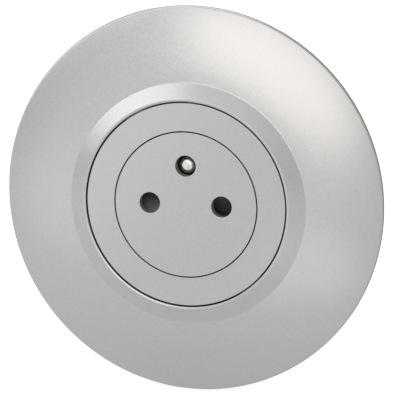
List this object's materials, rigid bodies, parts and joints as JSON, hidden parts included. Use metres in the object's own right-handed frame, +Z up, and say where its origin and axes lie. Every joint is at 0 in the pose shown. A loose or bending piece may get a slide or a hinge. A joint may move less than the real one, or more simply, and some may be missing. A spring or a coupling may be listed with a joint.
{
  "type": "flush wall socket with a round cover plate",
  "caption": "Round silver wall socket for round-pin plugs: a flush spring-loaded disk slides in as the plug is pushed home, and a turning shutter closes the line holes behind it.",
  "frame": {"origin": "centre of the socket on the wall plane, midway between the wall box screws", "axes": "+X to the right seen from the room, +Z up the wall, +Y into the wall; the face looks along -Y"},
  "size_m": [0.1, 0.0393, 0.1],
  "materials": {
    "plate_paint": "satin metallic paint",
    "face_paint": "satin metallic paint",
    "zinc_steel": "zinc plated",
    "base_plastic": "moulded, fine grain",
    "inner_plastic": "moulded",
    "shutter_plastic": "moulded, satin",
    "screw_steel": "zinc plated",
    "spring_steel": "drawn wire",
    "nickel": "nickel plated",
    "brass": "stamped"
  },
  "bodies": {
    "mechanism": {"cover_plate": "plate_paint", "front_collar": "face_paint", "support_frame": "zinc_steel", "base_housing": "base_plastic", "contact_cover": "base_plastic", "terminal_screws": "screw_steel", "return_spring": "spring_steel", "earth_pin": "nickel", "neutral_contact": "brass", "live_contact": "brass", "neutral_terminal": "brass", "live_terminal": "brass", "earth_terminal": "brass", "earth_strap": "brass"},
    "well": {"well_disk": "face_paint", "shutter_carrier": "inner_plastic", "carrier_screws": "screw_steel", "shutter_spring": "spring_steel"},
    "shutter": {"shutter": "shutter_plastic"}
  },
  "joints": [
    {"name": "well_slide", "type": "slide", "parent": "mechanism", "child": "well", "axis": [0, 1, 0], "range_m": [0, 0.015], "stiffness_N_per_m": 600, "springref_m": -0.01, "deforming": ["return_spring"]},
    {"name": "shutter_turn", "type": "hinge", "parent": "well", "child": "shutter", "pos_m": [0, 0, 0], "axis": [0, -1, 0], "range_deg": [0, 38], "stiffness_Nm_per_rad": 0.01, "springref_deg": -28.65, "deforming": ["shutter_spring"]}
  ]
}
